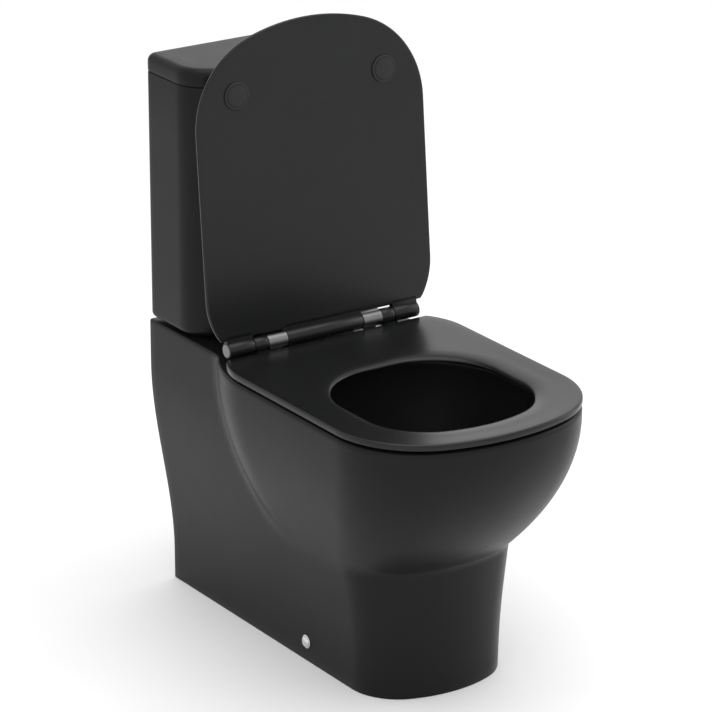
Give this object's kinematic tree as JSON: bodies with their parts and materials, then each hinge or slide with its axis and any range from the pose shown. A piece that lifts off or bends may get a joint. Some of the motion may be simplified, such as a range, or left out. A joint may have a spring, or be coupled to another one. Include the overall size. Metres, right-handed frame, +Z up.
{
  "type": "close coupled toilet",
  "caption": "Skirted close coupled toilet with a rimless bowl, D-shaped soft-close seat and lid, dual flush cistern and rear outlet, in satin black.",
  "frame": {"origin": "on the floor, under the middle of the overall length and width", "axes": "+Z up, the front of the seat points to -Y and the wall is at +Y, X across"},
  "size_m": [0.365, 0.665, 0.8553],
  "materials": {
    "china": "satin black glaze",
    "seat": "satin black thermoset",
    "rubber": "soft, matt",
    "hinge_metal": "satin",
    "steel": "plain",
    "chrome": "polished",
    "brass": "machined",
    "white_plastic": "moulded",
    "grey_plastic": "moulded",
    "button": "gloss black"
  },
  "bodies": {
    "root": {"pan": "china", "bowl": "china", "trap": "china", "cistern": "china", "hinge_bases": "hinge_metal", "hinge_pins": "steel", "hinge_studs": "steel", "hinge_washers": "rubber", "hinge_nuts": "white_plastic", "coupling_bolts": "brass", "bolt_seals": "rubber", "coupling_washers": "steel", "coupling_nuts": "brass", "coupling_gasket": "rubber", "valve_base": "white_plastic", "valve_washer": "rubber", "valve_nut": "white_plastic", "valve_tower": "white_plastic", "valve_hood": "grey_plastic", "inlet_shank": "brass", "inlet_washer": "rubber", "inlet_nut": "white_plastic", "filler_column": "white_plastic", "filler_head": "grey_plastic", "floor_brackets": "grey_plastic", "side_screws": "steel", "cover_caps": "chrome"},
    "ring": {"seat_ring": "seat", "ring_buffers": "rubber", "ring_dampers": "grey_plastic"},
    "lid": {"seat_lid": "seat", "lid_buffers": "rubber", "lid_dampers": "grey_plastic"},
    "cistern_cover": {"cistern_lid": "china", "button_bezel": "button", "button_nut": "white_plastic", "full_spring": "steel", "half_spring": "steel"},
    "full_button": {"full_flush_button": "button", "full_push_rod": "white_plastic"},
    "half_button": {"half_flush_button": "button", "half_push_rod": "white_plastic"},
    "flush_valve": {"flush_seal": "rubber", "overflow_tube": "white_plastic"},
    "float": {"float_cup": "grey_plastic", "float_rod": "white_plastic"}
  },
  "joints": [
    {"name": "seat_ring_hinge", "type": "hinge", "parent": "root", "child": "ring", "pos_m": [0, 0.1135, 0.4197], "axis": [-1, 0, 0], "range_deg": [0, 95]},
    {"name": "seat_lid_hinge", "type": "hinge", "parent": "root", "child": "lid", "pos_m": [0, 0.1135, 0.4197], "axis": [-1, 0, 0], "range_deg": [-95, 0]},
    {"name": "cistern_lid_lift", "type": "slide", "parent": "root", "child": "cistern_cover", "axis": [0, 0, 1], "range_m": [0, 0.12]},
    {"name": "full_flush_press", "type": "slide", "parent": "cistern_cover", "child": "full_button", "axis": [0, 0, -1], "range_m": [0, 0.006], "stiffness_N_per_m": 300, "springref_m": -0.003, "deforming": ["full_spring"]},
    {"name": "half_flush_press", "type": "slide", "parent": "cistern_cover", "child": "half_button", "axis": [0, 0, -1], "range_m": [0, 0.006], "stiffness_N_per_m": 300, "springref_m": -0.003, "deforming": ["half_spring"]},
    {"name": "flush_valve_lift", "type": "slide", "parent": "root", "child": "flush_valve", "axis": [0, 0, 1], "range_m": [0, 0.02]},
    {"name": "float_rise", "type": "slide", "parent": "root", "child": "float", "axis": [0, 0, 1], "range_m": [0, 0.06]}
  ],
  "couplings": [
    {"joint": "flush_valve_lift", "follows": "full_flush_press", "ratio": 3.3333}
  ]
}
